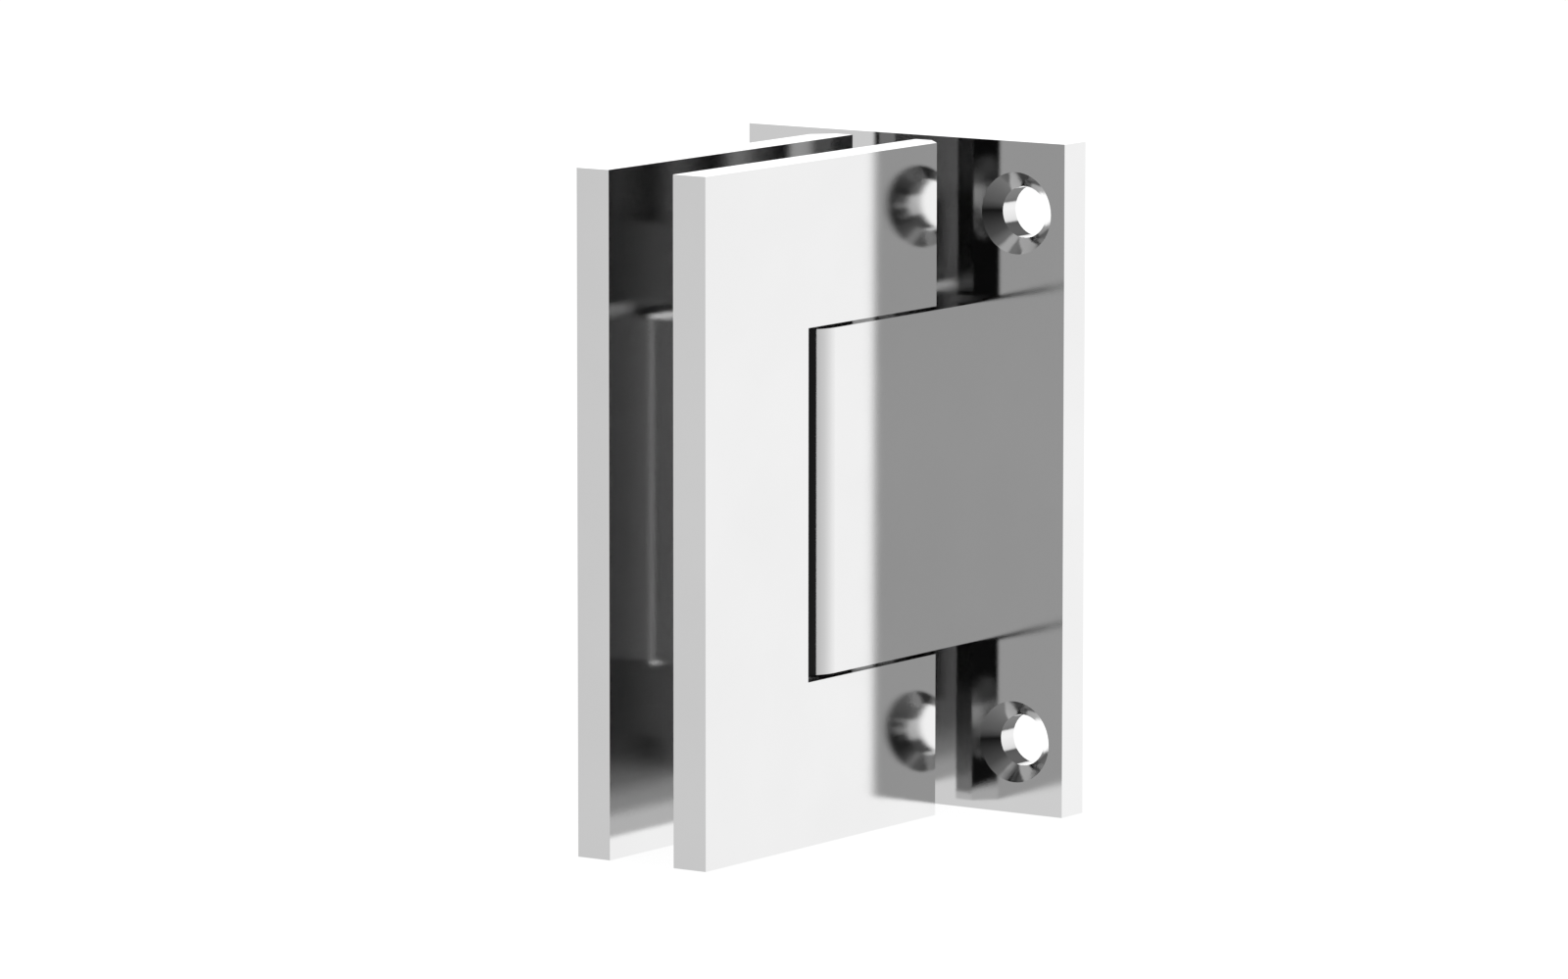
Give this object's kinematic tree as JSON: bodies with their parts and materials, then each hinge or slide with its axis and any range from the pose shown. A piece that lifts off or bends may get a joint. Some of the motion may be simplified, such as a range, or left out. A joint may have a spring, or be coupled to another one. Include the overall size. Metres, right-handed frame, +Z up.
{
  "type": "glass door hinge",
  "caption": "Wall-to-glass door hinge: a wall plate carries a rounded pivot block, and a clamp of flat notched plates grips the glass edge and swings both ways on an upright sprung-detent pin.",
  "frame": {"origin": "centre of the wall plate's back face", "axes": "+Y points into the wall, square to the wall plate; +Z is up, parallel to the pivot axis; +X is to the right for someone facing the wall, and the glass runs out along -Y"},
  "size_m": [0.05, 0.065, 0.0888],
  "materials": {
    "chrome_plating": "polished chrome plating",
    "screw_steel": "machined stainless steel",
    "ground_steel": "ground stainless steel",
    "milled_steel": "milled stainless steel",
    "bush_polymer": "matt moulded polymer",
    "spring_wire": "drawn spring wire",
    "plunger_brass": "turned brass"
  },
  "bodies": {
    "wall_bracket": {"wall_plate": "chrome_plating", "pivot_block": "chrome_plating", "upper_block_screw": "screw_steel", "lower_block_screw": "screw_steel", "upper_bush": "bush_polymer", "lower_bush": "bush_polymer", "upper_thrust_washer": "bush_polymer", "lower_thrust_washer": "bush_polymer", "upper_spring": "spring_wire", "lower_spring": "spring_wire", "upper_spring_screw": "screw_steel", "lower_spring_screw": "screw_steel"},
    "upper_detent": {"upper_plunger": "plunger_brass"},
    "lower_detent": {"lower_plunger": "plunger_brass"},
    "door_clamp": {"outer_clamp_plate": "chrome_plating", "inner_clamp_plate": "chrome_plating", "pivot_pin": "ground_steel", "upper_pin_carrier": "milled_steel", "lower_pin_carrier": "milled_steel", "upper_clamp_screw": "screw_steel", "lower_clamp_screw": "screw_steel"}
  },
  "joints": [
    {"name": "door_swing", "type": "hinge", "parent": "wall_bracket", "child": "door_clamp", "pos_m": [0, -0.0285, 0], "axis": [0, 0, 1], "range_deg": [-90, 90]},
    {"name": "upper_plunger_slide", "type": "slide", "parent": "wall_bracket", "child": "upper_detent", "axis": [0, -1, 0], "range_m": [0, 0.0008], "stiffness_N_per_m": 12000, "springref_m": 0.003, "deforming": ["upper_spring"]},
    {"name": "lower_plunger_slide", "type": "slide", "parent": "wall_bracket", "child": "lower_detent", "axis": [0, -1, 0], "range_m": [0, 0.0008], "stiffness_N_per_m": 12000, "springref_m": 0.003, "deforming": ["lower_spring"]}
  ],
  "couplings": [
    {"joint": "lower_plunger_slide", "follows": "upper_plunger_slide", "ratio": 1}
  ]
}
